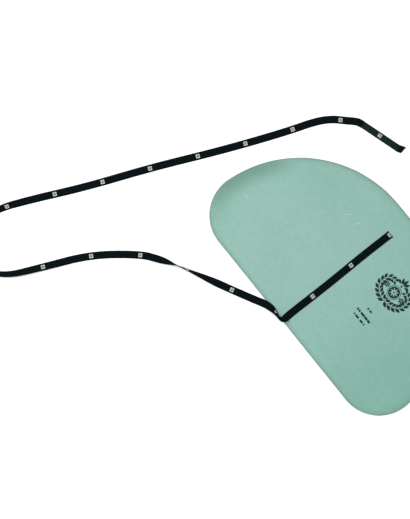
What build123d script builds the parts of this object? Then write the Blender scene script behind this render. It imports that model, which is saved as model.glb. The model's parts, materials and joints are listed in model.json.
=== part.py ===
"""Pull-through swab for an alto saxophone: a D-shaped microfibre cloth, a woven pull ribbon and a
weighted tip. Millimetres. The cloth lies on z = 0 with its bounding box centred on the origin, its
straight edge along X and its crown towards +Y."""

import os
from math import cos, radians, sin, tan

from build123d import *

# --- cloth -------------------------------------------------------------------------------------
cloth_thickness = 0.7
outline_radii = (60.3, 180.6, 900.0)  # corner, side, crown, from the straight edge to the crown
outline_turns = (94.3, 83.8, 1.9)  # degrees that each of those arcs turns, 180 in all
tongue_low = 0.15  # the cloth's edge inside the overlock, between these heights
tongue_high = 0.55
tongue_inset = 0.5
overlock_width = 2.2

# --- ribbon ------------------------------------------------------------------------------------
ribbon_width = 11.0
ribbon_thickness = 0.5
on_floor = ribbon_thickness / 2  # height of the ribbon's middle where it lies on the floor
on_cloth = cloth_thickness + ribbon_thickness / 2
arc_share = 0.45  # share of the shorter run that each corner's arc takes up
route = [  # from the end sewn to the cloth, over the straight edge, to the tip's neck
    (0.5, 81, on_cloth),
    (-0.4, 35, on_cloth),
    (0.4, -17, on_cloth),
    (0.3, -59, on_cloth),
    (-0.1, -92, on_cloth),
    (-0.2, -117, on_cloth),
    (-22, -117.6, on_cloth),
    (-40, -124.4, on_cloth),
    (-59.5, -134.1, on_floor),
    (-103, -157, on_floor),
    (-152, -181.5, on_floor),
    (-200, -214, on_floor),
    (-244, -270, on_floor),
    (-273, -335, on_floor),
    (-299, -389, on_floor),
    (-340, -408, on_floor),
    (-375, -389, on_floor),
    (-380, -339, on_floor),
    (-356, -283, on_floor),
    (-323, -215, on_floor),
    (-285, -123, on_floor),
    (-243, -33, on_floor),
    (-206, 55, on_floor),
    (-191, 98, on_floor),
    (-179, 118.2, on_floor),
    (-166.5, 130.6, on_floor),
    (-158.5, 138.9, on_floor),
    (-151.3, 145.6, on_floor),
    (-145.2, 147.5, on_floor),
]

# --- weighted tip ------------------------------------------------------------------------------
tip_length = 68.5
sleeve_width = 10.0  # the ribbon draws in as it is sewn round the weight
neck_gap = 0.3  # between the ribbon's end and the sleeve, bridged by the same weave
slug_size = (50.0, 6.0, 2.0)
slug_corner = 0.6
slug_play = 0.1  # round the weight, inside its sleeve
bulge_foot = 9.0  # from the neck to where the sleeve is at its full height
neck_length = 5.0  # two layers sewn flat before the weight
layers = 2 * ribbon_thickness  # two thicknesses of ribbon
side_seam = 1.1  # width of the flat seam on each side of the sleeve
end_fold_length = 8.0
end_fold_height = 3 * ribbon_thickness

# --- stitches ----------------------------------------------------------------------------------
thread_width = 0.4
thread_height = 0.25
stitch_length = 1.7
stitch_pitch = 2.3
stitch_margin = 1.2  # from the ribbon's edge to a row of stitches


def cloth_outline(inset):
    """The D outline, moved in by inset: one straight edge and three tangent arcs on each side."""
    headings = [sum(outline_turns[:i]) for i in range(len(outline_turns) + 1)]
    arcs = list(zip(outline_radii, headings[:-1], headings[1:]))
    straight = -sum(r * (sin(radians(end)) - sin(radians(start))) for r, start, end in arcs)
    depth = sum(r * (cos(radians(start)) - cos(radians(end))) for r, start, end in arcs)
    with BuildSketch() as outline:
        with BuildLine():
            edge = Line((0, inset - depth / 2), (straight, inset - depth / 2))
            for radius, turn in zip(outline_radii, outline_turns):
                edge = JernArc(edge @ 1, edge % 1, radius - inset, turn)
            mirror(about=Plane.YZ)
        make_face()
    return outline.sketch


def stitch_row(start, end):
    """Places for one straight row of stitches, evenly spread from start to end."""
    line = Vector(*end) - Vector(*start)
    count = max(1, round(line.length / stitch_pitch))
    angle = Vector(1, 0).get_signed_angle(line, Vector(0, 0, 1))
    middles = [Vector(*start) + line * ((i + 0.5) / count) for i in range(count)]
    return [Location((p.X, p.Y, 0), (0, 0, angle)) for p in middles]


def box_and_cross(x_low, x_high, half_width):
    """Stitch places for a rectangle with a cross in it."""
    corners = [(x_low, -half_width), (x_high, -half_width), (x_high, half_width), (x_low, half_width)]
    sides = list(zip(corners, corners[1:] + corners[:1]))
    diagonals = [(corners[0], corners[2]), (corners[1], corners[3])]
    return [place for start, end in sides + diagonals for place in stitch_row(start, end)]


def corner_radius(before, corner, after):
    """The largest arc that the two runs at a corner of the route leave room for."""
    run_in = corner - before
    run_out = after - corner
    half_turn = radians(run_in.get_angle(run_out) / 2)
    return arc_share * min(run_in.length, run_out.length) / tan(half_turn)


# --- planes at the tip's neck: along the tip, across it and up ------------------------------------
neck = Vector(*route[-1]) - Vector(0, 0, on_floor)
along = (Vector(*route[-1]) - Vector(*route[-2])).normalized()
hinge_axis = along.cross(Vector(0, 0, 1))
tip_floor = Plane(origin=neck, x_dir=along, z_dir=(0, 0, 1))
tip_side = Plane(origin=neck, x_dir=along, z_dir=hinge_axis)
tip_section = Plane(origin=neck, x_dir=-hinge_axis, z_dir=along)

# --- the cloth, thinned to a tongue where the overlock wraps it -----------------------------------
with BuildPart() as cleaning_cloth:
    extrude(cloth_outline(overlock_width), amount=cloth_thickness)
    extrude(Pos(0, 0, tongue_low) * cloth_outline(tongue_inset), amount=tongue_high - tongue_low)
cleaning_cloth.part.label = "cleaning_cloth"

# --- overlock: a narrow thread wrap round the cloth's edge, over and under the tongue ---------------
with BuildPart() as edge_overlock:
    extrude(cloth_outline(0), amount=cloth_thickness)
    extrude(cloth_outline(overlock_width), amount=cloth_thickness, mode=Mode.SUBTRACT)
    tongue_slot = Pos(0, 0, tongue_low) * cloth_outline(tongue_inset)
    extrude(tongue_slot, amount=tongue_high - tongue_low, mode=Mode.SUBTRACT)
edge_overlock.part.label = "edge_overlock"

# --- pull ribbon: flat section swept along straight runs joined by tangent arcs ---------------------
points = [Vector(*p) for p in route]
points[-1] = points[-1] - along * neck_gap
corner_radii = [corner_radius(*points[i - 1 : i + 2]) for i in range(1, len(points) - 1)]
with BuildPart() as pull_ribbon:
    with BuildLine() as ribbon_path:
        FilletPolyline(*points, radius=corner_radii)
    with BuildSketch(Plane(origin=points[0], x_dir=(1, 0, 0), z_dir=points[1] - points[0])):
        Rectangle(ribbon_width, ribbon_thickness)
    sweep()
pull_ribbon.part.label = "pull_ribbon"

# --- stitches that hold the ribbon's end to the cloth: a box with a cross ---------------------------
seam_end = points[0] + Vector(0, 0, ribbon_thickness / 2)
seam_plane = Plane(origin=seam_end, x_dir=(0, -1, 0), z_dir=(0, 0, 1))
seam_half_width = ribbon_width / 2 - stitch_margin
with BuildPart() as ribbon_seam_stitches:
    with BuildSketch(seam_plane):
        with Locations(*box_and_cross(stitch_margin, ribbon_width, seam_half_width)):
            SlotOverall(stitch_length, thread_width)
    extrude(amount=thread_height)
ribbon_seam_stitches.part.label = "ribbon_seam_stitches"

# --- tip sleeve: the ribbon folded back on itself round the weight, flat below and bulged above ------
cavity_height = slug_size[2] + slug_play
sleeve_top = layers + cavity_height
cavity_start = bulge_foot - ribbon_thickness
cavity_length = slug_size[0] + 2 * slug_play
bulge_end = cavity_start + cavity_length + ribbon_thickness
half = sleeve_width / 2
shoulder = slug_size[1] / 2 + slug_play + ribbon_thickness
with BuildPart() as tip_sleeve:
    with BuildSketch(tip_section):
        with BuildLine():
            Polyline(
                (-half, 0),
                (half, 0),
                (half, layers),
                (half - side_seam, layers),
                (shoulder, sleeve_top - ribbon_thickness),
                (shoulder - ribbon_thickness, sleeve_top),
                (ribbon_thickness - shoulder, sleeve_top),
                (-shoulder, sleeve_top - ribbon_thickness),
                (side_seam - half, layers),
                (-half, layers),
                close=True,
            )
        make_face()
    extrude(amount=tip_length)
    with BuildSketch(tip_side):
        with BuildLine():
            Polyline(
                (0, 0),
                (0, ribbon_thickness),
                (layers, layers),
                (neck_length, layers),
                (bulge_foot, sleeve_top),
                (bulge_end, sleeve_top),
                (bulge_end + layers, end_fold_height),
                (tip_length, end_fold_height),
                (tip_length, 0),
                close=True,
            )
        make_face()
    extrude(amount=sleeve_width, both=True, mode=Mode.INTERSECT)
    with BuildSketch(tip_floor):
        with Locations((tip_length - end_fold_length / 2, 0)):
            Rectangle(end_fold_length, sleeve_width)
    extrude(amount=end_fold_height)
    with BuildSketch(tip_floor.offset(ribbon_thickness)):
        with Locations((cavity_start + cavity_length / 2, 0)):
            Rectangle(cavity_length, slug_size[1] + 2 * slug_play)
    extrude(amount=cavity_height, mode=Mode.SUBTRACT)
tip_sleeve.part.label = "tip_sleeve"

# --- weight: a flat steel slug with rounded corners, lying in the sleeve ----------------------------
with BuildPart() as tip_weight:
    with BuildSketch(tip_floor.offset(ribbon_thickness)):
        with Locations((cavity_start + cavity_length / 2, 0)):
            RectangleRounded(slug_size[0], slug_size[1], slug_corner)
    extrude(amount=slug_size[2])
tip_weight.part.label = "tip_weight"

# --- stitches across the sleeve's neck, two rows ----------------------------------------------------
row_half_width = half - stitch_margin
neck_rows = [layers + stitch_margin, neck_length - thread_width]
with BuildPart() as neck_stitches:
    with BuildSketch(tip_floor.offset(layers)):
        for row in neck_rows:
            with Locations(*stitch_row((row, -row_half_width), (row, row_half_width))):
                SlotOverall(stitch_length, thread_width)
    extrude(amount=thread_height)
neck_stitches.part.label = "neck_stitches"

# --- stitches along the sleeve's two side seams -----------------------------------------------------
side_row = half - side_seam / 2
with BuildPart() as side_seam_stitches:
    with BuildSketch(tip_floor.offset(layers)):
        for side in (-side_row, side_row):
            row_end = tip_length - end_fold_length - thread_width
            with Locations(*stitch_row((neck_length + layers, side), (row_end, side))):
                SlotOverall(stitch_length, thread_width)
    extrude(amount=thread_height)
side_seam_stitches.part.label = "side_seam_stitches"

# --- stitches that close the end fold: a box with a cross -------------------------------------------
with BuildPart() as end_fold_stitches:
    with BuildSketch(tip_floor.offset(end_fold_height)):
        fold_start = tip_length - end_fold_length + thread_width
        fold_end = tip_length - stitch_margin
        with Locations(*box_and_cross(fold_start, fold_end, row_half_width)):
            SlotOverall(stitch_length, thread_width)
    extrude(amount=thread_height)
end_fold_stitches.part.label = "end_fold_stitches"

pieces = [
    cleaning_cloth,
    edge_overlock,
    pull_ribbon,
    ribbon_seam_stitches,
    tip_sleeve,
    tip_weight,
    neck_stitches,
    side_seam_stitches,
    end_fold_stitches,
]
os.makedirs("parts", exist_ok=True)
for piece in pieces:
    export_step(piece.part, f"parts/{piece.part.label}.step")

ribbon_length = ribbon_path.wire().length
section_volume = ribbon_length * ribbon_width * ribbon_thickness
print("cloth area mm2", round(cloth_outline(0).area))
print("cloth box mm", cloth_outline(0).bounding_box().size)
print("ribbon length mm", round(ribbon_length, 1))
print("ribbon volume over section x length", round(pull_ribbon.part.volume / section_volume, 4))
print("corner radii mm", [round(r) for r in corner_radii])
print("runs mm", [round((b - a).length) for a, b in zip(points, points[1:])])
print("hinge at", neck, "axis", hinge_axis, "along", along)
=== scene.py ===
import json
import math

import bpy
import numpy as np
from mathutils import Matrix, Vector


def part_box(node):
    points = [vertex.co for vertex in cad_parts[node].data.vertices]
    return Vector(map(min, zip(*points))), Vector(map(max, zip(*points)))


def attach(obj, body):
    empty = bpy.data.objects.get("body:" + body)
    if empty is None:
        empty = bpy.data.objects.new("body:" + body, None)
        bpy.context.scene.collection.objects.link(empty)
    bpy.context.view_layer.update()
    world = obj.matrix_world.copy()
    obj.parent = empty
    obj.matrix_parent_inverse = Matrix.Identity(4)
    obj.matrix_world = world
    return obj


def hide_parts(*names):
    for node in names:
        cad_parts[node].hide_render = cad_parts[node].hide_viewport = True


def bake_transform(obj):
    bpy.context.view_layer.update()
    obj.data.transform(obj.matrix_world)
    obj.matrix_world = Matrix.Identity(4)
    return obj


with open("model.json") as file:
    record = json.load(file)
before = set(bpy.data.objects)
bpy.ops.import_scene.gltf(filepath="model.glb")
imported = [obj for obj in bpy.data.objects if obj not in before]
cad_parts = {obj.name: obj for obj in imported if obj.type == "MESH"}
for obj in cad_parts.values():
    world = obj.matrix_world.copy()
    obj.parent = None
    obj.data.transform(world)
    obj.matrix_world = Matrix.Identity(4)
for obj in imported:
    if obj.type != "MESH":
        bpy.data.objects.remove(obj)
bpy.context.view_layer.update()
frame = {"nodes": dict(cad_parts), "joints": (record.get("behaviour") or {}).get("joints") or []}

MM = 0.001
UP = np.array([0.0, 0.0, 1.0])
rng = np.random.default_rng(11)

# --- sizes ---
outline_low, outline_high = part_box("edge_overlock")
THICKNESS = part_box("cleaning_cloth")[1].z
# the outline's arcs from the straight edge to the crown: radius, and turn in degrees
OUTLINE_ARCS = ((60.3 * MM, 94.3), (180.6 * MM, 83.8), (900 * MM, 1.9))
CLOTH_REST = 0.15 * MM  # the cloth's underside over the floor, held up by the overlock's threads

RIBBON_WIDTH = 11 * MM
RIBBON_THICKNESS = 0.5 * MM
RIB_PITCH = 1.2 * MM
WEAVE_STEP = RIB_PITCH / 4  # between the sections of a ribbed band
RIB_ROOM = 0.02 * MM  # for the ribs, under a ribbon that lies flat
# heights of the ribbon's line where it lies on the cloth or on the floor, and where it stands on its edge
ON_CLOTH = CLOTH_REST + THICKNESS + RIBBON_THICKNESS / 2 + RIB_ROOM
ON_FLOOR = RIBBON_THICKNESS / 2 + RIB_ROOM
ON_EDGE = RIBBON_WIDTH / 2 + 0.1 * MM

hinge = frame["joints"][0]
NECK = np.array([hinge["pos_m"][0], hinge["pos_m"][1], 0.0])
ALONG = np.cross(UP, np.array(hinge["axis"], float))
ALONG /= np.linalg.norm(ALONG)
ACROSS = np.cross(UP, ALONG)
TIP_LENGTH = 68.5 * MM
NECK_STRETCH = 4 * MM  # how far before the hinge the ribbon's mesh stops and the neck's goes on


# --- camera: straight down on the swab, turned as the swab lies ---
VIEW_CENTRE = Vector((-0.1365, -0.1471, 0))
VIEW_HEIGHT = 0.737
VIEW_RIGHT = Vector((0.6266, 0.7793, 0))

camera_data = bpy.data.cameras.new("camera")
camera_data.lens = 85
camera_data.sensor_width = 36
camera = bpy.data.objects.new("camera", camera_data)
bpy.context.scene.collection.objects.link(camera)
distance = VIEW_HEIGHT / 2 * camera_data.lens / (camera_data.sensor_width / 2)
camera.location = VIEW_CENTRE + Vector((0, 0, distance))
camera.rotation_euler = (0, 0, math.atan2(VIEW_RIGHT.y, VIEW_RIGHT.x))
bpy.context.scene.camera = camera


# --- mesh and line helpers ---
def smoothstep(low, high, x):
    """0 up to low, 1 from high on, and a smooth rise between."""
    t = np.clip((np.asarray(x, float) - low) / (high - low), 0, 1)
    return t * t * (3 - 2 * t)


def new_piece(name, vertices, faces, body, material, weave=None):
    """A smooth mesh object that rides on a CAD body. weave is a (u, v) pair for each vertex."""
    mesh = bpy.data.meshes.new(name)
    mesh.from_pydata([tuple(v) for v in vertices], [], faces)
    mesh.polygons.foreach_set("use_smooth", [True] * len(mesh.polygons))
    if weave is not None:
        corners = np.zeros(len(mesh.loops), np.int32)
        mesh.loops.foreach_get("vertex_index", corners)
        layer = mesh.uv_layers.new(name="weave")
        layer.data.foreach_set("uv", np.asarray(weave, np.float32)[corners].ravel())
    mesh.update()
    piece = bpy.data.objects.new(name, mesh)
    bpy.context.scene.collection.objects.link(piece)
    piece.data.materials.append(material)
    if body is not None:
        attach(piece, body)
    return piece


def grid_faces(rows, columns, first=0, closed_rows=False, closed_columns=True):
    """Quads over rows of points that lie one after another."""
    faces = []
    for i in range(rows if closed_rows else rows - 1):
        low, high = first + i * columns, first + (i + 1) % rows * columns
        for j in range(columns if closed_columns else columns - 1):
            k = (j + 1) % columns
            faces.append((low + j, low + k, high + k, high + j))
    return faces


def lengths_along(points):
    """How far along a line each of its points is."""
    return np.concatenate([[0], np.cumsum(np.linalg.norm(np.diff(points, axis=0), axis=1))])


def at_stations(points, stations):
    """Points of a line at the given lengths along it."""
    known = lengths_along(points)
    return np.stack([np.interp(stations, known, points[:, i]) for i in range(points.shape[1])], 1)


def unit(vectors):
    return vectors / np.linalg.norm(vectors, axis=-1, keepdims=True)


UPRIGHT = 0.05  # a thread whose run is this close to straight up takes X as its side


def tubes(lines, radius, sides=6, closed=False, flat=1.0):
    """Round threads along lines of points. flat squeezes them towards the surface they lie on."""
    angles = np.arange(sides)[:, None] * 2 * math.pi / sides
    vertices, faces = [], []
    for line in lines:
        line = np.asarray(line, float)
        first, rows = len(vertices), len(line)
        run = np.roll(line, -1, 0) - np.roll(line, 1, 0) if closed else np.gradient(line, axis=0)
        run = unit(run)
        side = np.cross(run, UP)
        side[np.linalg.norm(side, axis=1) < UPRIGHT] = (1, 0, 0)
        side = unit(side)[:, None]
        out = np.cross(run[:, None], side)
        rings = line[:, None] + radius * (np.cos(angles) * side + flat * np.sin(angles) * out)
        vertices += list(rings.reshape(-1, 3))
        faces += grid_faces(rows, sides, first, closed_rows=closed)
        if not closed:
            faces.append(tuple(range(first + sides - 1, first - 1, -1)))
            last = first + (rows - 1) * sides
            faces.append(tuple(range(last, last + sides)))
    return vertices, faces


def skin(rings):
    """The closed skin of a band, from an array of its sections' points."""
    rows, columns = rings.shape[:2]
    faces = grid_faces(rows, columns)
    faces.append(tuple(range(columns - 1, -1, -1)))
    faces.append(tuple(range((rows - 1) * columns, rows * columns)))
    return rings.reshape(-1, 3), faces


def strip(line, side, out, sections):
    """The skin of a band whose sections, rows of (across, out), stand on the points of a line."""
    return skin(line[:, None] + sections[..., :1] * side[:, None] + sections[..., 1:] * out[:, None])


def weave_map(sections, stations):
    """Where each point of a band lies in the ribbon's weave, in ribbon widths across and along."""
    along = np.repeat(stations[:, None], sections.shape[1], 1)
    return (np.stack([sections[..., 0] + RIBBON_WIDTH / 2, along], 2) / RIBBON_WIDTH).reshape(-1, 2)


# --- materials ---
def linear(red, green, blue):
    """The shader's colour for a display colour from 0 to 255."""
    shares = [c / 255 for c in (red, green, blue)]
    return tuple(((s + 0.055) / 1.055) ** 2.4 if s > 0.04045 else s / 12.92 for s in shares) + (1,)


class Material:
    """A principled material and short ways to add nodes to it."""

    def __init__(self, name, roughness=0.8, sheen=0.0, metallic=0.0, specular=0.5):
        self.material = bpy.data.materials.new(name)
        self.material.use_nodes = True
        self.tree = self.material.node_tree
        self.shader = self.tree.nodes["Principled BSDF"]
        self.shader.inputs["Roughness"].default_value = roughness
        self.shader.inputs["Sheen Weight"].default_value = sheen
        self.shader.inputs["Metallic"].default_value = metallic
        self.shader.inputs["Specular IOR Level"].default_value = specular

    def node(self, kind, inputs=(), **settings):
        node = self.tree.nodes.new("ShaderNode" + kind)
        for key, value in settings.items():
            setattr(node, key, value)
        for key, value in dict(inputs).items():
            if isinstance(value, bpy.types.NodeSocket):
                self.tree.links.new(value, node.inputs[key])
            else:
                node.inputs[key].default_value = value
        return node

    def place(self):
        return self.node("TexCoord").outputs["Object"]

    def weave(self):
        return self.node("UVMap", uv_map="weave").outputs["UV"]

    def noise(self, where, scale, detail=3.0, roughness=0.55):
        given = {"Vector": where, "Scale": scale, "Detail": detail, "Roughness": roughness}
        return self.node("TexNoise", given).outputs["Fac"]

    def math(self, operation, a, b=0.0):
        return self.node("Math", {0: a, 1: b}, operation=operation).outputs[0]

    def ramp(self, value, stops):
        """Colours or greys at (position, colour) stops."""
        ramp = self.node("ValToRGB", {"Fac": value})
        for element, (position, colour) in zip(ramp.color_ramp.elements, (stops[0], stops[-1])):
            element.position, element.color = position, colour
        for position, colour in stops[1:-1]:
            ramp.color_ramp.elements.new(position).color = colour
        return ramp.outputs["Color"]

    def mix(self, share, a, b, blend="MIX"):
        node = self.node("Mix", data_type="RGBA", blend_type=blend)
        for socket, value in zip((node.inputs["Factor"], node.inputs[6], node.inputs[7]), (share, a, b)):
            if isinstance(value, bpy.types.NodeSocket):
                self.tree.links.new(value, socket)
            else:
                socket.default_value = value
        return node.outputs[2]

    def streak(self, where, x, y, length, degrees):
        """STREAK_STRENGTH along the middle of a short narrow streak, falling to 0 at its rim."""
        given = {"Vector": where, "Location": (x * MM, y * MM, 0), "Rotation": (0, 0, math.radians(degrees))}
        given["Scale"] = (length / 2 * MM, STREAK_WIDTH / 2 * MM, 1)
        inside = self.node("Mapping", given, vector_type="TEXTURE").outputs["Vector"]
        reach = self.node("VectorMath", {0: inside}, operation="LENGTH").outputs["Value"]
        fade = {"Value": reach, "From Min": 1.0, "From Max": STREAK_CORE, "To Max": STREAK_STRENGTH}
        return self.node("MapRange", fade).outputs["Result"]

    def colour(self, socket):
        self.tree.links.new(socket, self.shader.inputs["Base Color"])

    def roughness(self, value, low, high):
        spread = self.node("MapRange", {"Value": value, "To Min": low, "To Max": high})
        self.tree.links.new(spread.outputs["Result"], self.shader.inputs["Roughness"])

    def bump(self, *layers):
        """Layers of (height, distance, strength), the coarsest first."""
        normal = None
        for height, depth, strength in layers:
            given = {"Height": height, "Distance": depth, "Strength": strength}
            if normal is not None:
                given["Normal"] = normal
            normal = self.node("Bump", given).outputs["Normal"]
        self.tree.links.new(normal, self.shader.inputs["Normal"])


def grey(value):
    return (value, value, value, 1)


def microfibre():
    """Teal suede-finish microfibre: a middle paled by painted sheen, painted shade along the rim, brushed
    patches of nap, a fine knit and fibres.
    """
    m = Material("microfibre_suede", roughness=0.95, sheen=0.08, specular=0.15)
    m.shader.inputs["Sheen Roughness"].default_value = 0.5
    m.shader.inputs["Sheen Tint"].default_value = linear(200, 226, 218)
    where = m.place()
    # painted sheen: the cloth is palest round its middle point and deepens away from it, with ragged borders
    broad = m.noise(where, 9, detail=3, roughness=0.5)
    from_middle = m.node("VectorMath", {0: where, 1: SHEEN_MIDDLE}, operation="DISTANCE").outputs["Value"]
    wear_and_sheen = m.math("ADD", from_middle, m.math("MULTIPLY", m.math("SUBTRACT", broad, 0.5), SHEEN_RAGGED))
    nap = m.noise(where, 150, detail=5, roughness=0.62)
    fibre = m.noise(where, 2600, detail=3, roughness=0.7)
    tones = [(0.1, CLOTH_PALE), (0.55, CLOTH_MID), (1.0, CLOTH_DEEP)]
    base = m.ramp(m.math("MULTIPLY", wear_and_sheen, 1 / SHEEN_REACH), tones)
    # painted shade: darker towards the rim, as the mesh's shade attribute says
    base = m.mix(m.node("Attribute", attribute_name="shade").outputs["Fac"], base, CLOTH_SHADE)
    patches = m.ramp(nap, [(0.3, grey(0.47)), (0.5, grey(0.5)), (0.72, grey(0.54))])
    brushed = m.mix(0.6, base, patches, "OVERLAY")
    specks = m.ramp(fibre, [(0.3, grey(0.41)), (0.7, grey(0.59))])
    streaked = brushed
    # pale streaks along the creases: pressed nap, and a painted highlight on their ridges
    for x, y, length, degrees in STREAKS:
        streaked = m.mix(m.streak(where, x, y, length, degrees), streaked, CLOTH_STREAK)
    m.colour(m.mix(0.45, streaked, specks, "OVERLAY"))
    m.roughness(nap, 0.88, 1.0)
    knit = m.node("TexVoronoi", {"Vector": where, "Scale": 1500.0}).outputs["Distance"]
    m.bump((nap, 0.0004, 0.3), (knit, 0.00012, 0.4), (fibre, 0.00015, 0.5))
    return m.material


def thread(name, dark, light, roughness=0.7, specular=0.35):
    """Spun thread: plies as fine diagonal bands."""
    m = Material(name, roughness=roughness, sheen=0.05, specular=specular)
    where = m.place()
    waves = {"Vector": where, "Scale": 900.0, "Distortion": 3.0, "Detail": 2.0}
    plies = m.node("TexWave", waves, bands_direction="DIAGONAL").outputs["Fac"]
    fuzz = m.noise(where, 1800, detail=2)
    m.colour(m.mix(plies, dark, light))
    m.roughness(fuzz, roughness - 0.1, roughness + 0.15)
    m.bump((plies, 0.00008, 0.6), (fuzz, 0.00005, 0.4))
    return m.material


def black_weave(name, dark, light, specular):
    """Black woven ribbon: warp threads between the cross ribs, and a little dust from wear."""
    m = Material(name, roughness=0.7, specular=specular)
    parts = m.node("SeparateXYZ", {0: m.weave()})
    warp = m.math("SINE", m.math("MULTIPLY", parts.outputs["X"], 2 * math.pi * WARP_THREADS))
    ribs = m.math("SINE", m.math("MULTIPLY", parts.outputs["Y"], 2 * math.pi * RIBBON_WIDTH / RIB_PITCH))
    woven = m.math("ADD", m.math("MULTIPLY", warp, 0.5), m.math("MULTIPLY", ribs, 0.5))
    fuzz = m.noise(m.place(), 1500)
    wear_and_sheen = m.noise(m.place(), 60)
    tone = m.node("MapRange", {"Value": woven, "From Min": -1.0, "From Max": 1.0})
    yarn = m.mix(tone.outputs["Result"], dark, light)
    dust = m.ramp(wear_and_sheen, [(0.35, grey(0.45)), (0.7, grey(0.56))])
    m.colour(m.mix(0.5, yarn, dust, "OVERLAY"))
    m.roughness(fuzz, 0.58, 0.82)
    m.bump((woven, 0.00007, 0.8), (fuzz, 0.00004, 0.5))
    return m.material


def ink():
    """Dark green-black screen print, thin where the nap shows through."""
    m = Material("print_ink", roughness=0.85, specular=0.15)
    where = m.place()
    gaps = m.noise(where, 900, detail=4, roughness=0.7)
    m.colour(m.ramp(gaps, [(0.5, linear(14, 34, 31)), (0.68, linear(48, 76, 70))]))
    m.roughness(gaps, 0.75, 0.95)
    m.bump((gaps, 0.00006, 0.4))
    return m.material


def slug_steel():
    m = Material("slug_steel", roughness=0.35, metallic=1.0)
    scuffs = m.noise(m.place(), 400, detail=4)
    m.colour(m.ramp(scuffs, [(0.3, linear(150, 152, 156)), (0.7, linear(188, 190, 194))]))
    m.roughness(scuffs, 0.28, 0.5)
    m.bump((scuffs, 0.00005, 0.3))
    return m.material


def floor_paper():
    """Seamless white paper."""
    m = Material("floor_paper", roughness=0.9, specular=0.1)
    grain = m.noise(m.place(), 600)
    m.colour(m.ramp(grain, [(0.3, grey(0.90)), (0.7, grey(0.92))]))
    m.roughness(grain, 0.85, 0.95)
    return m.material


# the cloth's teal under a painted sheen: palest at the sheen's middle, deepest far from it
CLOTH_PALE = linear(131, 165, 156)
CLOTH_MID = linear(126, 163, 153)
CLOTH_DEEP = linear(115, 157, 145)
CLOTH_SHADE = linear(94, 130, 117)  # painted shade along the rim, as the mesh's shade attribute says
# the pale of the crease streaks, partly a painted highlight
CLOTH_STREAK = linear(165, 192, 184)
SHEEN_MIDDLE = (-0.08, -0.035, 0)  # where the painted sheen is palest
SHEEN_REACH = 0.25  # metres from there to the deepest teal
SHEEN_RAGGED = 0.16  # metres that the tones' borders wander
STREAKS = (  # pale crease streaks, pressed nap and painted highlight: x, y, length in millimetres, direction in degrees
    (-168, -45.5, 19, -2),
    (-60, 50.5, 17, 51),
    (-40, 54, 17, 50),
    (120, 40, 15, -40),
)
STREAK_WIDTH = 2.0
STREAK_CORE = 0.1  # the share of a streak's size that is at full strength
STREAK_STRENGTH = 0.6
WARP_THREADS = 28  # across the ribbon

MICROFIBRE = microfibre()
OVERLOCK_THREAD = thread("overlock_thread", linear(112, 136, 128), linear(152, 172, 165))
RIBBON = black_weave("ribbon_weave", linear(2, 8, 10), linear(8, 19, 22), 0.025)
SLEEVE = black_weave("sleeve_weave", linear(5, 18, 17), linear(22, 44, 41), 0.05)
BLACK_THREAD = thread("black_thread", linear(4, 8, 9), linear(20, 28, 29), 0.65, 0.08)
MARK_THREAD = thread("mark_thread", linear(174, 172, 173), linear(212, 210, 210), 0.6)
INK = ink()
STEEL = slug_steel()

# --- pull ribbon: its smooth line ---
# Route points from the sewn end to the tip's neck: x and y in millimetres, and the line's height.
ROUTE = [
    (0.5, 81, ON_CLOTH),
    (-0.4, 35, ON_CLOTH),
    (0.4, -17, ON_CLOTH),
    (0.1, -59, ON_CLOTH),
    (-0.5, -92, ON_CLOTH),
    (-0.4, -107.5, ON_CLOTH),
    (-0.6, -114.8, ON_CLOTH + 3.8 * MM),
    (-6.5, -117.3, ON_CLOTH + 5.2 * MM),
    (-14, -116.6, ON_CLOTH + 4.75 * MM),
    (-22.5, -116.5, ON_CLOTH + 2.7 * MM),
    (-33, -119.6, ON_CLOTH + 0.2 * MM),
    (-45, -126.4, ON_CLOTH - 0.2 * MM),
    (-59.5, -134.1, ON_FLOOR),
    (-77, -143.3, ON_FLOOR),
    (-95, -152.4, ON_FLOOR + 0.2 * MM),
    (-110, -159.9, ON_FLOOR + 3 * MM),
    (-127, -168.5, ON_FLOOR + 4.7 * MM),
    (-147, -179, ON_EDGE),
    (-162, -187.5, ON_EDGE),
    (-178, -198, ON_FLOOR + 1.2 * MM),
    (-200, -214, ON_FLOOR),
    (-244, -270, ON_FLOOR),
    (-273, -335, ON_FLOOR + 1.4 * MM),
    (-299, -389, ON_FLOOR + 3.6 * MM),
    (-340, -408, ON_EDGE),
    (-375, -389, ON_EDGE),
    (-380, -339, ON_FLOOR + 3.2 * MM),
    (-356, -283, ON_FLOOR + 1 * MM),
    (-323, -215, ON_FLOOR),
    (-285, -123, ON_FLOOR + 0.6 * MM),
    (-243, -33, ON_FLOOR),
    (-206, 55, ON_FLOOR + 0.4 * MM),
    (-191, 98, ON_FLOOR),
    (-179, 118.2, ON_FLOOR),
    (-166.5, 130.6, ON_FLOOR),
    (-157.0, 140.6, ON_FLOOR),
    (-151.3, 145.6, ON_FLOOR),
    (-145.2, 147.5, ON_FLOOR),
]
LEAVES_CLOTH = (-38, -123)  # from here the ribbon comes down to the floor
REACHES_FLOOR = (-59.5, -134.1)


def smooth_line(name, points):
    """The NURBS line that has points as its control points, as a dense row of points."""
    curve = bpy.data.curves.new(name, "CURVE")
    curve.dimensions = "3D"
    curve.resolution_u = 24
    spline = curve.splines.new("NURBS")
    spline.points.add(len(points) - 1)
    for knot, point in zip(spline.points, points):
        knot.co = (*point, 1)
    spline.order_u = 3
    spline.use_endpoint_u = True
    holder = bpy.data.objects.new(name, curve)
    bpy.context.scene.collection.objects.link(holder)
    mesh = bpy.data.meshes.new_from_object(holder)
    line = np.array([v.co for v in mesh.vertices])
    bpy.data.objects.remove(holder)
    bpy.data.curves.remove(curve)
    bpy.data.meshes.remove(mesh)
    return line


ribbon_points = smooth_line("ribbon_line", [(x * MM, y * MM, z) for x, y, z in ROUTE])
RIBBON_LENGTH = lengths_along(ribbon_points)[-1]


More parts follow.
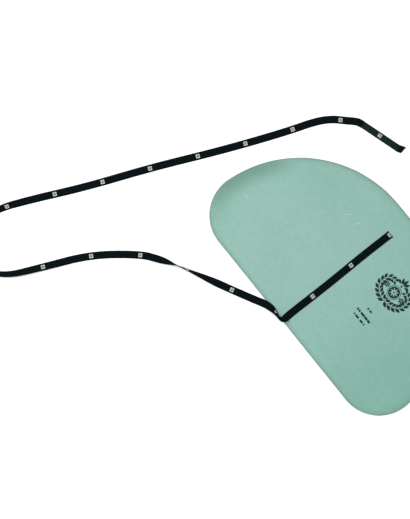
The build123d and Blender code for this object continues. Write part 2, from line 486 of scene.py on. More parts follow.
def station_near(x, y):
    """Length along the ribbon's line to where it passes nearest a place in millimetres."""
    gaps = np.linalg.norm(ribbon_points[:, :2] - np.array([x, y]) * MM, axis=1)
    return lengths_along(ribbon_points)[np.argmin(gaps)]


ROLL_STATIONS = np.arange(0, RIBBON_LENGTH + MM, MM)
ROLL_BLEND = np.array([1, 2, 3, 4, 3, 2, 1]) / 16  # a millimetre apart


def ribbon_roll():
    """The ribbon's turn about its line at ROLL_STATIONS, blended along it. It lies flat where its line is
    low, and stands on its right edge where the line is half a width up."""
    resting = ON_CLOTH + (ON_FLOOR - ON_CLOTH) * smoothstep(
        station_near(*LEAVES_CLOTH), station_near(*REACHES_FLOOR), ROLL_STATIONS
    )
    height = at_stations(ribbon_points, ROLL_STATIONS)[:, 2] - resting
    roll = np.arcsin(np.clip(height / (ON_EDGE - ON_FLOOR), 0, 1))
    return np.convolve(roll, ROLL_BLEND, "same")


ROLL = ribbon_roll()


def ribbon_frame(stations):
    """The ribbon's line and the directions across it and out of its upper face."""
    line = at_stations(ribbon_points, stations)
    run = unit(np.gradient(line, axis=0))
    left = unit(np.cross(UP, run))
    roll = np.interp(stations, ROLL_STATIONS, ROLL)
    side = np.cos(roll)[:, None] * left + np.sin(roll)[:, None] * UP
    return line, side, unit(np.cross(run, side))


# --- pull ribbon: ribs across, a smooth selvedge on each side, its sewn end turned under ---
# half of the ribbon's section, from its edge: shares of the half width, and heights in millimetres
HALF_SECTION = ((1.0, 0.0), (0.972, 0.2), (0.9, 0.25), (0.5, 0.2), (0.0, 0.2))
HALF_WIDTH = RIBBON_WIDTH / 2 / MM
RIB_HEIGHT = 0.045
SELVEDGE = 0.9  # the share of the half width that has ribs
PLEAT_HEIGHT = 0.9 * MM
PLEAT_WIDTH = 1.1 * MM
PLEAT_SLANT = 0.6
CREASE_FROM_NECK = 6.6 * MM
TURNED_UNDER = 10 * MM
TURNED_STEP = 0.5 * MM
UNDER_LAYER = 0.35  # millimetres that the turned-under end adds to the thickness
END_ROUNDING = 0.6 * MM
THINNEST_END = 0.25  # as a share of the ribbon's thickness


def rib_at(station):
    """The height in millimetres of the weave's cross ribs."""
    return RIB_HEIGHT * math.sin(2 * math.pi * station / RIB_PITCH)


def ribbon_section(station, half_width=HALF_WIDTH, swell=0.0):
    """The ribbon's section, ribbed between its selvedges. swell thickens it above and below."""
    rib = rib_at(station)
    right = [(a * half_width, b + swell * (b > 0) + (rib if a < SELVEDGE else 0)) for a, b in HALF_SECTION]
    top = [(-a, b) for a, b in right] + right[-2::-1]
    bottom = [(a, -b) for a, b in top[-2:0:-1]]
    return np.array(top + bottom)[::-1] * MM


def turned_under(station):
    """Half of what the turned-under end adds to the ribbon's thickness."""
    step = smoothstep(TURNED_UNDER - TURNED_STEP, TURNED_UNDER + TURNED_STEP, station)
    return UNDER_LAYER / 2 * float(1 - step)


def pull_section(station):
    """The ribbon's section with the turned-under end and the diagonal pleat of the crease before the tip."""
    past = station - (RIBBON_LENGTH - CREASE_FROM_NECK)
    under = turned_under(station)
    round_end = math.sqrt(1 - (1 - min(station / END_ROUNDING, 1)) ** 2)
    ring = ribbon_section(station, swell=under)
    ring[:, 1] = ring[:, 1] * max(round_end, THINNEST_END) + under * MM
    ring[:, 1] += PLEAT_HEIGHT * np.exp(-(((past - PLEAT_SLANT * ring[:, 0]) / PLEAT_WIDTH) ** 2))
    return ring


stations = np.arange(0, RIBBON_LENGTH - NECK_STRETCH, WEAVE_STEP)
sections = np.array([pull_section(s) for s in stations])
vertices, faces = strip(*ribbon_frame(stations), sections)
weave = weave_map(sections, stations)
ribbon = new_piece("woven_ribbon", vertices, faces, "swab", RIBBON, weave)
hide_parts("pull_ribbon")


# --- marks woven into the ribbon: rows of white thread with a diamond-shaped gap, and a dot in the gap ---
MARK_PITCH = 70 * MM
FIRST_MARK = 1.8 * MM
FIRST_THREAD = 0.5 * MM  # a thread any nearer the sewn end is left out
FOLD_MARK = 3  # it lies in the fold, where only its dot is drawn
MARK_RADIUS = 0.31 * MM
MARK_FLAT = 0.5  # how flat the threads lie, as a share of their width
# millimetres from a mark's middle
MARK_HALF_LENGTH, MARK_HALF_WIDTH = 2.4, 2.8
MARK_ROW_PITCH = 0.6
MARK_GAP, LEAST_GAP = 2.2, 0.3
MARK_DOT, LEAST_DOT = 0.9, 0.2
MARK_LEVEL, MARK_ARCH = 0.2, 0.1  # over the ribbon's line
FLOAT_POINTS = 5


def mark_floats():
    """Each thread of a mark: its place along the ribbon, and where it starts and ends across."""
    rows = round(MARK_HALF_LENGTH / MARK_ROW_PITCH)
    floats = []
    for row in range(-rows, rows + 1):
        along = row * MARK_ROW_PITCH
        gap, dot = MARK_GAP - abs(along), MARK_DOT - abs(along)
        if gap > LEAST_GAP:
            floats += [(along, -MARK_HALF_WIDTH, -gap), (along, gap, MARK_HALF_WIDTH)]
        else:
            floats.append((along, -MARK_HALF_WIDTH, MARK_HALF_WIDTH))
        if dot > LEAST_DOT:
            floats.append((along, -dot, dot))
    return floats


def float_line(place, side, out, start, end, level=MARK_LEVEL):
    """A thread that arches over the weave from start to end across the ribbon."""
    spread = np.linspace(start, end, FLOAT_POINTS) * MM
    rise = (level + MARK_ARCH * np.sin(np.linspace(0, math.pi, FLOAT_POINTS))) * MM
    return place + spread[:, None] * side + rise[:, None] * out


def marks_at(stations):
    """The threads of the marks in the ribbon."""
    threads = []
    for number, station in enumerate(stations):
        for along, start, end in mark_floats():
            place = station + along * MM
            # the mark in the fold keeps only its dot's threads
            left_out = number == FOLD_MARK and end > MARK_DOT
            if place > FIRST_THREAD and not left_out:
                line, side, out = ribbon_frame(place + np.array([-0.2, 0, 0.2]) * MM)
                level = MARK_LEVEL + 2 * turned_under(place)
                threads.append(float_line(line[1], side[1], out[1], start, end, level))
    return threads


mark_threads = marks_at(np.arange(FIRST_MARK, RIBBON_LENGTH, MARK_PITCH))
vertices, faces = tubes(mark_threads, MARK_RADIUS, flat=MARK_FLAT)
marks = new_piece("ribbon_marks", vertices, faces, "swab", MARK_THREAD)


# --- stitches ---
STITCH_PITCH = 2.3 * MM
STITCH_SHARE = 0.74  # of the pitch; the rest is the gap to the next stitch
STITCH_RADIUS = 0.19 * MM
STITCH_ARCH = np.array([-0.16, 0.04, 0.1, 0.1, 0.04, -0.16]) * MM  # its ends dive into the weave


def stitch_row(start, end):
    """Ends of the stitches along a straight row."""
    start, end = np.array(start, float), np.array(end, float)
    count = max(1, round(np.linalg.norm(end - start) / STITCH_PITCH))
    step = (end - start) / count
    middles = [start + step * (i + 0.5) for i in range(count)]
    return [(middle - step * STITCH_SHARE / 2, middle + step * STITCH_SHARE / 2) for middle in middles]


def box_and_cross(low, high, half):
    """Stitches round a box from low to high along the ribbon, and along its diagonals."""
    corners = [(low, -half), (high, -half), (high, half), (low, half)]
    sides = list(zip(corners, corners[1:] + corners[:1]))
    diagonals = [(corners[0], corners[2]), (corners[1], corners[3])]
    return [stitch for start, end in sides + diagonals for stitch in stitch_row(start, end)]


def stitch_lines(stitches, place):
    """Arched thread lines. place turns (along, across, height) into a point."""
    lines = []
    for start, end in stitches:
        flat = np.linspace(start, end, len(STITCH_ARCH))
        lines.append([place(along, across, h) for (along, across), h in zip(flat, STITCH_ARCH)])
    return lines


def sewn(name, stitches, place, body):
    """A piece of black stitches."""
    vertices, faces = tubes(stitch_lines(stitches, place), STITCH_RADIUS)
    return new_piece(name, vertices, faces, body, BLACK_THREAD)


SEAM_BOX = (1.2 * MM, 9 * MM, 4.3 * MM)  # its ends from the ribbon's end, and half its width
RIBS_TOP = 0.24 * MM  # over the ribbon's line
SEAM_TOP = ON_CLOTH + RIBS_TOP + UNDER_LAYER * MM


def on_seam(along, across, height):
    """A place on the ribbon's sewn end, which runs down from its first point."""
    return (ribbon_points[0, 0] + across, ribbon_points[0, 1] - along, SEAM_TOP + height)


seam_stitches = sewn("seam_box_stitch", box_and_cross(*SEAM_BOX), on_seam, "swab")
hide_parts("ribbon_seam_stitches")

# --- weighted tip: a ribbon sleeve swollen by the slug inside it ---
END_FOLD = 60.5 * MM  # from the neck to the folded end
KINK = math.radians(14)
KINK_REACH = 1.5 * MM
END_SKEW = 0.05  # how much longer the folded end is for each millimetre to the left of its middle
FULL_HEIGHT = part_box("tip_sleeve")[1].z
LAYERS = 2 * RIBBON_THICKNESS
LAYERS_START = 1.2 * MM  # over which the second layer begins
SWELL_STARTS = (4.6 * MM, 9.6 * MM)  # over the weight
SWELL_ENDS = (57.5 * MM, 61.5 * MM)
SLEEVE_STOPS = TIP_LENGTH - 0.7 * MM  # inside the folded end
SLEEVE_HALF_WIDTH = 5.0  # millimetres, like the next three
WAIST, WAIST_PLACE, WAIST_REACH = 0.12, 3.5, 2.5  # where the neck's stitches draw the sleeve in


def tip_place(along, across, height):
    """A place on the tip, from the neck. Past the weight the folded end is kinked to one side."""
    turn = KINK * smoothstep(END_FOLD - KINK_REACH, END_FOLD + KINK_REACH, along)
    past = np.maximum(np.asarray(along, float) - END_FOLD, 0)
    straight = np.asarray(along, float) - past
    past = past * (1 + END_SKEW * np.asarray(across) / MM)
    forward = straight + past * np.cos(turn) - across * np.sin(turn)
    sideways = past * np.sin(turn) + across * np.cos(turn)
    on_floor = NECK + forward[..., None] * ALONG + sideways[..., None] * ACROSS
    return on_floor + np.asarray(height)[..., None] * UP


def sleeve_height(s):
    """Top of the sleeve along the tip: one ribbon, two sewn flat, the weight, then two again."""
    start = RIBBON_THICKNESS + (LAYERS - RIBBON_THICKNESS) * smoothstep(0, LAYERS_START, s)
    swell = smoothstep(*SWELL_STARTS, s) * (1 - smoothstep(*SWELL_ENDS, s))
    return start + (FULL_HEIGHT - LAYERS) * swell


def sleeve_section(s):
    """Two layers with a groove between them at each side, and the swell over the weight."""
    height = float(sleeve_height(s))
    low = min(height, LAYERS) / LAYERS
    swell = max(height - LAYERS, 0) / MM
    rib = rib_at(s)
    half = SLEEVE_HALF_WIDTH - WAIST * math.exp(-(((s / MM - WAIST_PLACE) / WAIST_REACH) ** 2))
    lower = [(0, rib * 0.5), (2.6, rib * 0.5), (half - 0.4, 0.0)]
    lower += [(half - 0.05, 0.12), (half, 0.28), (half - 0.14, 0.5)]
    upper = [(half, 0.72), (half - 0.06, 0.9), (half - 0.4, 1.0), (half - 1.05, 0.98)]
    crown = [(3.45, 0.58), (2.8, 0.9), (1.5, 1.0), (0, 1.03)]
    right = [(a, b * low) for a, b in lower + upper]
    right += [(a, low * (0.98 + rib) + b * swell) for a, b in crown]
    left = [(-a, b) for a, b in right[-2:0:-1]]
    return [(a * MM, b * MM) for a, b in right + left]


stations = np.arange(0.1 * MM, SLEEVE_STOPS, WEAVE_STEP)
sections = np.array([sleeve_section(s) for s in stations])
along = np.repeat(stations[:, None], sections.shape[1], 1)
vertices, faces = skin(tip_place(along, sections[..., 0], sections[..., 1]))
weave = weave_map(sections, stations)
sleeve = new_piece("weight_sleeve", vertices, faces, "weighted_tip", SLEEVE, weave)
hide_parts("tip_sleeve")

# --- the sleeve's end, folded over on top of itself ---
FLAP_HALF_WIDTH = 5.25
FLAP_LINE = [(60.4, 1.3), (62.5, 1.26), (65, 1.26), (67.2, 1.27), (67.9, 1.12)]  # along the tip, and height
FLAP_LINE += [(68.25, 0.76), (68.0, 0.4), (67.3, 0.27), (66.2, 0.26)]
flap_points = smooth_line("flap_line", [(along * MM, 0, height * MM) for along, height in FLAP_LINE])
stations = np.arange(0, lengths_along(flap_points)[-1], WEAVE_STEP / 2)
flap_points = at_stations(flap_points, stations)
flap_out = np.cross(unit(np.gradient(flap_points, axis=0)), (0.0, 1.0, 0.0))
sections = np.array([ribbon_section(s, FLAP_HALF_WIDTH) for s in stations])
placed = flap_points[:, None] + sections[..., 1:] * flap_out[:, None]
vertices, faces = skin(tip_place(placed[..., 0], sections[..., 0], placed[..., 2]))
weave = weave_map(sections, stations)
end_fold = new_piece("folded_end", vertices, faces, "weighted_tip", RIBBON, weave)

# --- stitches and a mark on the tip ---
END_BOX = (61.4 * MM, 67.0 * MM, 3.9 * MM)  # its ends from the neck, and half its width
END_TOP = 1.5 * MM
LAYERS_TOP = 0.98 * MM
NECK_ROWS, NECK_ROW_HALF = (2.2 * MM, 4.4 * MM), 3.8 * MM
SIDE_ROW_OUT = 4.45 * MM
SIDE_ROW_STARTS, SIDE_ROW_ENDS = 6 * MM, 59.5 * MM
SLEEVE_MARK = 28.5 * MM
MARK_SINK = 0.22 * MM  # the mark's own line under the sleeve's top
MARK_SQUEEZE = 0.85  # the sleeve's mark is narrower by this


def on_tip(level):
    """Gives stitch_lines its places on the tip, at this height over the underside."""
    return lambda along, across, height: tip_place(along, across, level + height)


end_stitches = sewn("end_box_stitch", box_and_cross(*END_BOX), on_tip(END_TOP), "weighted_tip")
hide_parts("end_fold_stitches")

neck_rows = []
for row in NECK_ROWS:
    neck_rows += stitch_row((row, -NECK_ROW_HALF), (row, NECK_ROW_HALF))
neck_stitches = sewn("neck_row_stitch", neck_rows, on_tip(LAYERS_TOP), "weighted_tip")
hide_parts("neck_stitches")

side_rows = []
for across in (-SIDE_ROW_OUT, SIDE_ROW_OUT):
    side_rows += stitch_row((SIDE_ROW_STARTS, across), (SIDE_ROW_ENDS, across))
side_stitches = sewn("side_row_stitch", side_rows, on_tip(LAYERS_TOP), "weighted_tip")
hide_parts("side_seam_stitches")

sleeve_floats = []
for along, start, end in mark_floats():
    place = tip_place(SLEEVE_MARK + along * MM, 0.0, FULL_HEIGHT - MARK_SINK)
    sleeve_floats.append(float_line(place, ACROSS, UP, start * MARK_SQUEEZE, end * MARK_SQUEEZE))
vertices, faces = tubes(sleeve_floats, MARK_RADIUS, flat=MARK_FLAT)
tip_mark = new_piece("sleeve_mark", vertices, faces, "weighted_tip", MARK_THREAD)

# --- the limp neck: the ribbon's last stretch, which bends at the hinge and goes on into the sleeve ---
NECK_OVERLAP = 2 * MM  # with the ribbon
STEPS_PAST = 11  # steps of the weave past the ribbon's end
NECK_SWELL = 0.02  # millimetres above and below, so that it covers the ribbon where they overlap
NECK_NARROWS = HALF_WIDTH - SLEEVE_HALF_WIDTH

stations = np.arange(RIBBON_LENGTH - NECK_STRETCH - NECK_OVERLAP, RIBBON_LENGTH, WEAVE_STEP)
line, side, out = ribbon_frame(stations)
beyond = np.arange(1, STEPS_PAST + 1) * WEAVE_STEP
line = np.concatenate([line, line[-1] + beyond[:, None] * ALONG])
side, out = (np.concatenate([rows, np.repeat(rows[-1:], STEPS_PAST, 0)]) for rows in (side, out))
stations = np.concatenate([stations, stations[-1] + beyond])
half_widths = HALF_WIDTH - NECK_NARROWS * smoothstep(RIBBON_LENGTH - 3 * MM, RIBBON_LENGTH + 2 * MM, stations)
sections = np.array([ribbon_section(s, half, NECK_SWELL) for s, half in zip(stations, half_widths)])
vertices, faces = strip(line, side, out, sections)
weave = weave_map(sections, stations)
neck = new_piece("neck_ribbon", vertices, faces, None, RIBBON, weave)
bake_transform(neck)

# --- cloth: outline ---
radii, turns = np.array(OUTLINE_ARCS).T
turns = np.radians(turns)
# half the straight edge is as long as the arcs need to end on the axis
STRAIGHT = -(radii @ np.diff(np.sin(np.append(0, np.cumsum(turns)))))
HALF_OUTLINE = [(math.inf, STRAIGHT)] + list(zip(radii, radii * turns))
OUTLINE = HALF_OUTLINE + HALF_OUTLINE[::-1]
PERIMETER = sum(length for _, length in OUTLINE)


def outline(distance, inset=0.0):
    """Points at these distances along the D outline, moved in by inset, and their outward normals."""
    distance = np.asarray(distance, float) % PERIMETER
    points, headings = np.zeros((len(distance), 2)), np.zeros(len(distance))
    start, heading, passed = np.array([0.0, outline_low.y]), 0.0, 0.0
    for radius, length in OUTLINE:
        here = (distance >= passed) & (distance < passed + length)
        along = np.append(distance[here] - passed, length)
        half_turn = along / (2 * radius)
        chord = along * np.sinc(half_turn / math.pi)
        middle_heading = heading + half_turn
        ends = start + chord[:, None] * np.stack([np.cos(middle_heading), np.sin(middle_heading)], 1)
        points[here], headings[here] = ends[:-1], heading + 2 * half_turn[:-1]
        start, heading, passed = ends[-1], heading + length / radius, passed + length
    normals = np.stack([np.sin(headings), -np.cos(headings)], 1)
    return points - np.reshape(inset, (-1, 1)) * normals, normals


edge_points = outline(np.linspace(0, PERIMETER, 720, endpoint=False))[0]


def edge_distance(places):
    """How far in from the outline each place is, to the nearest of its points."""
    return np.array([np.sqrt(((edge_points - place) ** 2).sum(1)).min() for place in places])


# --- cloth: how it lies ---
MEAN_LIFT = 1.4 * MM
SWELLS = (  # height, wavelength, direction in degrees, phase
    (1.3, 150, 20, 0.4),
    (0.8, 96, 75, 2.1),
    (0.5, 64, -40, 1.0),
    (0.3, 41, 130, 3.3),
)
SWELL_CORNER = 0.4 * MM  # how softly a hollow meets the floor
EDGE_FALL = 16 * MM
EDGE_KEEPS = 0.1  # of the lift
RIPPLES = ((0.5, 17, 0.3), (0.4, 27, 1.9), (0.25, 43, 4.0))  # height, waves round the outline, phase
RIPPLE_CORNER = 0.2 * MM
RIPPLE_REACH = 20 * MM
RIPPLES_END = 2.2 * RIPPLE_REACH
CREASES = (  # from x and y, to x and y, height
    (-186, -44, -142, -30, 0.45),
    (-84, 57, -38, 41, 0.45),
    (120, -70, 168, -38, 0.35),
    (60, 84, 108, 62, 0.35),
)
CREASE_WIDTH = 2.2 * MM
CREASE_TAPER = 0.3  # as a share of its length, at each end
RIBBON_VALLEY = 42 * MM
FOLD_PLACE = np.array([-30, -123]) * MM
FOLD_REACH = 38 * MM


def above_floor(height, corner):
    """The height where it is over 0, and nearly 0 where it is below, with a soft corner between."""
    return (height + np.sqrt(height**2 + corner**2)) / 2


def cloth_lift(x, y, inset, distance=0.0):
    """The height of the cloth's underside: low swells that fall to the floor at the edge, ripples along
    the edge and a few soft creases. It lies flat under the ribbon and where the ribbon folds over it."""
    lift = np.full_like(x, MEAN_LIFT)
    for height, wave, direction, phase in SWELLS:
        angle = math.radians(direction)
        run = x * math.cos(angle) + y * math.sin(angle)
        lift += height * MM * np.sin(2 * math.pi * run / (wave * MM) + phase)
    lift = above_floor(lift, SWELL_CORNER) * (EDGE_KEEPS + (1 - EDGE_KEEPS) * smoothstep(0, EDGE_FALL, inset))
    ripple = sum(h * MM * np.sin(2 * math.pi * waves * distance / PERIMETER + p) for h, waves, p in RIPPLES)
    near_edge = np.exp(-inset / RIPPLE_REACH) * (1 - smoothstep(RIPPLE_REACH, RIPPLES_END, inset))
    lift += above_floor(ripple, RIPPLE_CORNER) * near_edge
    from_fold = np.hypot(x - FOLD_PLACE[0], y - FOLD_PLACE[1])
    lift *= (1 - np.exp(-((x / RIBBON_VALLEY) ** 2))) * (1 - np.exp(-((from_fold / FOLD_REACH) ** 4)))
    for x1, y1, x2, y2, height in CREASES:
        start, run = np.array([x1, y1]) * MM, np.array([x2 - x1, y2 - y1]) * MM
        share = ((x - start[0]) * run[0] + (y - start[1]) * run[1]) / (run @ run)
        off = ((x - start[0]) * run[1] - (y - start[1]) * run[0]) / np.linalg.norm(run)
        ends = smoothstep(0, CREASE_TAPER, share) * (1 - smoothstep(1 - CREASE_TAPER, 1, share))
        lift += height * MM * ends * np.exp(-((off / CREASE_WIDTH) ** 2))
    return CLOTH_REST + lift


# painted shade and shadow on the cloth: a wide dark band round its left end, a narrow one along its rim
DARK_END = np.array([-202, -28]) * MM
DARK_END_REACH = (30 * MM, 96 * MM)
WIDE_BAND, WIDE_SHADE = (3 * MM, 32 * MM), 0.8
NARROW_BAND, NARROW_SHADE = (1 * MM, 8 * MM), 0.33


def rim_shade(x, y, inset):
    """How much painted shade the cloth gets: a narrow band along the whole rim, and a wide painted shadow
    round the left end.
    """
    from_end = np.hypot(x - DARK_END[0], y - DARK_END[1])
    wide = WIDE_SHADE * (1 - smoothstep(*WIDE_BAND, inset)) * (1 - smoothstep(*DARK_END_REACH, from_end))
    return np.maximum(wide, NARROW_SHADE * (1 - smoothstep(*NARROW_BAND, inset)))


# --- cloth: the mesh, in rings from the edge to the middle ---
AROUND = 380  # points in each ring
EDGE_INSETS = np.array([0.35, 0.8, 1.4, 2.2, 3.2, 4.4, 6, 8, 10.5, 13, 16, 19]) * MM
INNER_RINGS = 76
HEM_SINK = 0.14 * MM  # how much thinner each face is under the overlock
HEM_EDGE = (1.2 * MM, 2.8 * MM)  # over which it swells to the full thickness
RIM_INSET = 0.15 * MM
MIDDLE_INSET = 0.1  # metres, far from the edge

distances = np.linspace(0, PERIMETER, AROUND, endpoint=False)
edge_rings = [outline(distances, inset)[0] for inset in EDGE_INSETS]
middle = np.array([0.0, (outline_low.y + outline_high.y) / 2])
shrink = np.linspace(1, 0, INNER_RINGS + 1)[1:-1]
inner_rings = [middle + (edge_rings[-1] - middle) * s for s in shrink]
rings = np.array(edge_rings + inner_rings)
flat_xy = np.concatenate([rings.reshape(-1, 2), middle[None]])
inner_insets = edge_distance(np.concatenate(inner_rings))
inset = np.concatenate([np.repeat(EDGE_INSETS, AROUND), inner_insets, [MIDDLE_INSET]])
round_edge = np.append(np.tile(distances, len(rings)), 0)
lift = cloth_lift(flat_xy[:, 0], flat_xy[:, 1], inset, round_edge)
sink = HEM_SINK * (1 - smoothstep(*HEM_EDGE, inset))
top = np.column_stack([flat_xy, lift + THICKNESS - sink])
bottom = np.column_stack([flat_xy, lift + sink])
rim = np.column_stack([outline(distances, RIM_INSET)[0], (lift + THICKNESS / 2)[:AROUND]])

count = len(top)
faces = grid_faces(len(rings), AROUND)
faces += [tuple(count + i for i in face[::-1]) for face in faces]
last = (len(rings) - 1) * AROUND
for j in range(AROUND):
    k = (j + 1) % AROUND
    faces.append((last + j, last + k, count - 1))
    faces.append((count + last + k, count + last + j, 2 * count - 1))
    faces.append((2 * count + j, 2 * count + k, k, j))
    faces.append((count + j, count + k, 2 * count + k, 2 * count + j))
vertices = np.concatenate([top, bottom, rim])
cloth = new_piece("microfibre_cloth", vertices, faces, "swab", MICROFIBRE)
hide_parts("cleaning_cloth")
# painted shade for the cloth's material, on its top, underside and rim points
shade = rim_shade(flat_xy[:, 0], flat_xy[:, 1], inset)
shade = np.concatenate([shade, shade, shade[:AROUND]])
cloth.data.attributes.new("shade", "FLOAT", "POINT").data.foreach_set("value", shade)

# --- overlock: a thread wound round the edge, one along its inner side and one along the rim ---
THREAD = 0.15 * MM  # radius
LOOP_PITCH = 0.98 * MM
LOOP_POINTS = 10
LOOP_MIDDLE, LOOP_SWING, LOOP_RISE = 1.05 * MM, 1.1 * MM, 0.34 * MM
SLACK = 0.05 * MM
BRAID_POINTS = 4
NEEDLE_LINE, NEEDLE_WAVE = 2.1 * MM, 0.08 * MM
RIM_LINE, RIM_SWING, RIM_RISE = 0.08 * MM, 0.1 * MM, 0.12 * MM
loops = round(PERIMETER / LOOP_PITCH)


def edge_line(turns, reach, rise):
    """A line round the cloth's edge: turns counts the loops, reach is how far in, rise is over mid-cloth."""
    distance = turns * PERIMETER / loops
    place, _ = outline(distance, reach)
    lift = cloth_lift(place[:, 0], place[:, 1], np.maximum(reach, 0), distance)
    return np.column_stack([place, lift + THICKNESS / 2 + rise])


turns = np.arange(loops * LOOP_POINTS) / LOOP_POINTS
slack = np.repeat(rng.normal(0, SLACK, loops), LOOP_POINTS)
wrap_reach = LOOP_MIDDLE - LOOP_SWING * np.cos(2 * math.pi * turns) + slack
wrap = edge_line(turns, wrap_reach, LOOP_RISE * np.sin(2 * math.pi * turns))
turns = np.arange(loops * BRAID_POINTS) / BRAID_POINTS
wave = np.cos(2 * math.pi * turns)
needle = edge_line(turns, np.full(len(turns), NEEDLE_LINE), THICKNESS / 2 + NEEDLE_WAVE * wave)
rim = edge_line(turns, RIM_LINE + RIM_SWING * wave, RIM_RISE * np.roll(wave, 1))
vertices, faces = tubes([wrap, needle, rim], THREAD, sides=5, closed=True)
overlock = new_piece("overlock_threads", vertices, faces, "swab", OVERLOCK_THREAD)
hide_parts("edge_overlock")

# --- print: two leaf sprays round a starred disc, a palmette over it and rows of bars below ---
ORNAMENT = (68.2, 32.5)  # the disc's middle on the cloth, in millimetres like the rest
FRAME = (24.0, 12.8)  # half width and half height of the squarish ring that the sprays follow
SQUARENESS = 0.62
FRAME_SAG = 5.2  # how much lower the ring's foot hangs in the middle
SPRAY_STARTS, SPRAY_ENDS = 3.2, 6.5  # along the ring, from its lowest and highest points
LEAF_PITCH = 4.6
FOOT_LEAVES = 0.4  # how much larger the leaves are at a spray's foot, as a share
OUTER_LEAF = (1.2, 2.4, 34, 6.8, 3.6)  # forward, out, turn, length and width
INNER_LEAF = (0.8, 2.9, 44, 6.0, 3.0)
PALMETTE = (  # each leaf's x, y, direction, length and width
    (0, 21.4, 90, 11, 4.4),
    (4.4, 20.2, 60, 9.6, 4.0),
    (7.4, 16.8, 28, 7.6, 3.4),
)
DOTS = ((0, 1.2), (-13.4, 1.6), (13.4, 1.5))  # height over the disc's middle, and radius
BERRY_BACK, BERRY_RADIUS = 2.2, 0.6
ROSETTE, ROSETTE_DOT = (15.6, 0.2), 0.9
PETALS, PETAL_OUT, PETAL_LENGTH, PETAL_WIDTH = 6, 2.9, 3.6, 2.5
DISC_RADIUS = 8.6
OPEN_STAR = (6.9, 4.7, 2.7, 4.7)  # radii in turn round the star left open in the disc
RING = (10.5, 9.7)  # outer and inner radius
BARS = (66, -21.8)  # the middle of the bars
BAR_ROWS = (  # height over the middle row, thickness, then each bar's length and the gap after it
    (11.2, 2.9, ((2.7, 2.0), (3.8, 0))),
    (0.0, 3.2, ((2.5, 1.1), (3.0, 1.7), (7.6, 0.6), (5.6, 0.6), (4.8, 0))),
    (-8.0, 2.9, ((1.8, 1.8), (6.4, 3.2), (5.6, 1.8), (2.0, 0))),
)
PRINT_RISE = 0.11 * MM  # over the cloth, and as deep below
FAR_IN = 1.0  # metres from the edge, which leave out the edge's ripples


def turned(points, degrees, x, y):
    """Points turned about the origin and then moved to (x, y)."""
    cos, sin = math.cos(math.radians(degrees)), math.sin(math.radians(degrees))
    return [(x + a * cos - b * sin, y + a * sin + b * cos) for a, b in points]


def leaf(x, y, degrees, length, width):
    """An almond-shaped leaf round (x, y), pointing along degrees."""
    half = [(t - 0.5, 0.5 * math.sin(math.pi * t**0.85)) for t in np.linspace(0, 1, 9)]
    points = [(a * length, -b * width) for a, b in half] + [(a * length, b * width) for a, b in half[-2:0:-1]]
    return turned(points, degrees, x, y)


def star(x, y, radii, count):
    """A closed outline round (x, y) whose points take the radii in turn."""
    points = [(radii[i % len(radii)], 360 * i / count + 90) for i in range(count)]
    return [turned([(radius, 0)], degrees, x, y)[0] for radius, degrees in points]


def rosette():
    """A dot with petals round it."""
    outlines = [star(*ROSETTE, (ROSETTE_DOT,), 10)]
    for degrees in np.arange(PETALS) * 360 / PETALS:
        place = turned([(PETAL_OUT, 0)], degrees, *ROSETTE)[0]
        outlines.append(leaf(*place, degrees, PETAL_LENGTH, PETAL_WIDTH))
    return outlines


def spray():
    """The right-hand spray: pairs of leaves and a berry up the side of a squarish ring whose foot sags."""
    bearings = np.radians(np.linspace(-90, 90, 361))
    sin = np.sin(bearings)
    x = FRAME[0] * np.cos(bearings) ** SQUARENESS
    y = FRAME[1] * np.sign(sin) * np.abs(sin) ** SQUARENESS
    y -= FRAME_SAG * (1 - (x / FRAME[0]) ** 2) * (1 - sin) / 2
    path = np.stack([x, y], 1)
    full, place, outlines = lengths_along(path)[-1], SPRAY_STARTS, []
    while place < full - SPRAY_ENDS:
        size = 1 + FOOT_LEAVES * (1 - place / full)
        before, here, after = at_stations(path, np.array([place - 1, place, place + 1]))
        heading = math.degrees(math.atan2(after[1] - before[1], after[0] - before[0]))
        for side, (forward, out, turn, length, width) in ((-1, OUTER_LEAF), (1, INNER_LEAF)):
            leaf_x, leaf_y = turned([(forward * size, side * out * size)], heading, *here)[0]
            outlines.append(leaf(leaf_x, leaf_y, heading + side * turn, length * size, width * size))
        berry = turned([(-BERRY_BACK * size, 0)], heading, *here)[0]
        outlines.append(star(*berry, (BERRY_RADIUS * size,), 8))
        place += LEAF_PITCH * size
    return outlines


def ornament():
    """Everything but the disc and its ring: what is on the right, its mirror image and the middle."""
    right = spray() + rosette() + [leaf(*petal) for petal in PALMETTE[1:]]
    left = [[(-x, y) for x, y in shape[::-1]] for shape in right]
    middle = [star(0, y, (radius,), 12) for y, radius in DOTS] + [leaf(*PALMETTE[0])]
    return [[(x + ORNAMENT[0], y + ORNAMENT[1]) for x, y in shape] for shape in right + left + middle]


def bars():
    """Rows of plain bars, each row centred on the same line."""
    outlines = []
    for y, thickness, row in BAR_ROWS:
        x = BARS[0] - sum(length + gap for length, gap in row) / 2
        low, high = BARS[1] + y - thickness / 2, BARS[1] + y + thickness / 2
        for length, gap in row:
            outlines.append([(x, low), (x + length, low), (x + length, high), (x, high)])
            x += length + gap
    return outlines


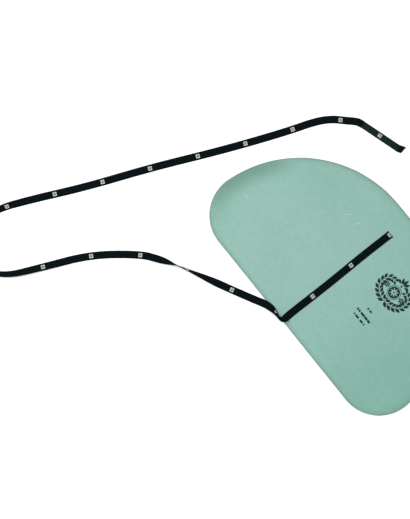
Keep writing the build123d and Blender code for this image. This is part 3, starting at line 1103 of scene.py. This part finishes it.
def slab(first, outer, inner=None):
    """A thin slab laid on the cloth: inside one outline, or between two of as many points."""
    rings = [(outer, -PRINT_RISE), (outer, PRINT_RISE)]
    if inner is not None:
        rings += [(inner, PRINT_RISE), (inner, -PRINT_RISE)]
    vertices = []
    for points, rise in rings:
        flat = np.array(points) * MM
        lift = cloth_lift(flat[:, 0], flat[:, 1], np.full(len(flat), FAR_IN))
        vertices.append(np.column_stack([flat, lift + THICKNESS + rise]))
    count = len(outer)
    faces = grid_faces(len(rings), count, first, closed_rows=inner is not None)
    if inner is None:
        faces.append(tuple(range(first + count - 1, first - 1, -1)))
        faces.append(tuple(range(first + count, first + 2 * count)))
    return np.concatenate(vertices), faces


disc = (star(*ORNAMENT, (DISC_RADIUS,), 32), star(*ORNAMENT, OPEN_STAR, 32))
ring = (star(*ORNAMENT, RING[:1], 40), star(*ORNAMENT, RING[1:], 40))
vertices, faces = np.zeros((0, 3)), []
for outlines in [disc, ring] + [(points,) for points in ornament() + bars()]:
    more_vertices, more_faces = slab(len(vertices), *outlines)
    vertices = np.concatenate([vertices, more_vertices])
    faces += more_faces
cloth_print = new_piece("cloth_print", vertices, faces, "swab", INK)
cloth_print.data.polygons.foreach_set("use_smooth", [False] * len(faces))

# --- CAD pieces that stay ---
weight = frame["nodes"]["tip_weight"]
for material_slot in weight.material_slots:
    material_slot.material = STEEL

# --- floor and light ---
FLOOR_HALF = 6
FLOOR_DROP = 0.05 * MM
floor_mesh = bpy.data.meshes.new("floor")
corners = [(x * FLOOR_HALF, y * FLOOR_HALF, 0) for x, y in ((-1, -1), (1, -1), (1, 1), (-1, 1))]
floor_mesh.from_pydata(corners, [], [(0, 1, 2, 3)])
floor = bpy.data.objects.new("floor", floor_mesh)
floor.location.z = -FLOOR_DROP
floor.data.materials.append(floor_paper())
bpy.context.scene.collection.objects.link(floor)


def area_light(name, place, target, size, power):
    light = bpy.data.lights.new(name, "AREA")
    light.shape = "DISK"
    light.size = size
    light.energy = power
    lamp = bpy.data.objects.new(name, light)
    lamp.location = place
    lamp.rotation_euler = (Vector(target) - Vector(place)).to_track_quat("-Z", "Y").to_euler()
    bpy.context.scene.collection.objects.link(lamp)


LIT_PLACE = (-0.05, -0.05, 0)
area_light("key", (-1.25, -1.05, 1.9), LIT_PLACE, size=1.4, power=52)
area_light("fill", (1.5, 0.9, 2.1), LIT_PLACE, size=2.0, power=26)
world = bpy.data.worlds.new("studio")
world.use_nodes = True
background = world.node_tree.nodes["Background"]
background.inputs["Color"].default_value = grey(1.0)
background.inputs["Strength"].default_value = 0.55
bpy.context.scene.world = world
bpy.context.scene.view_settings.view_transform = "Standard"
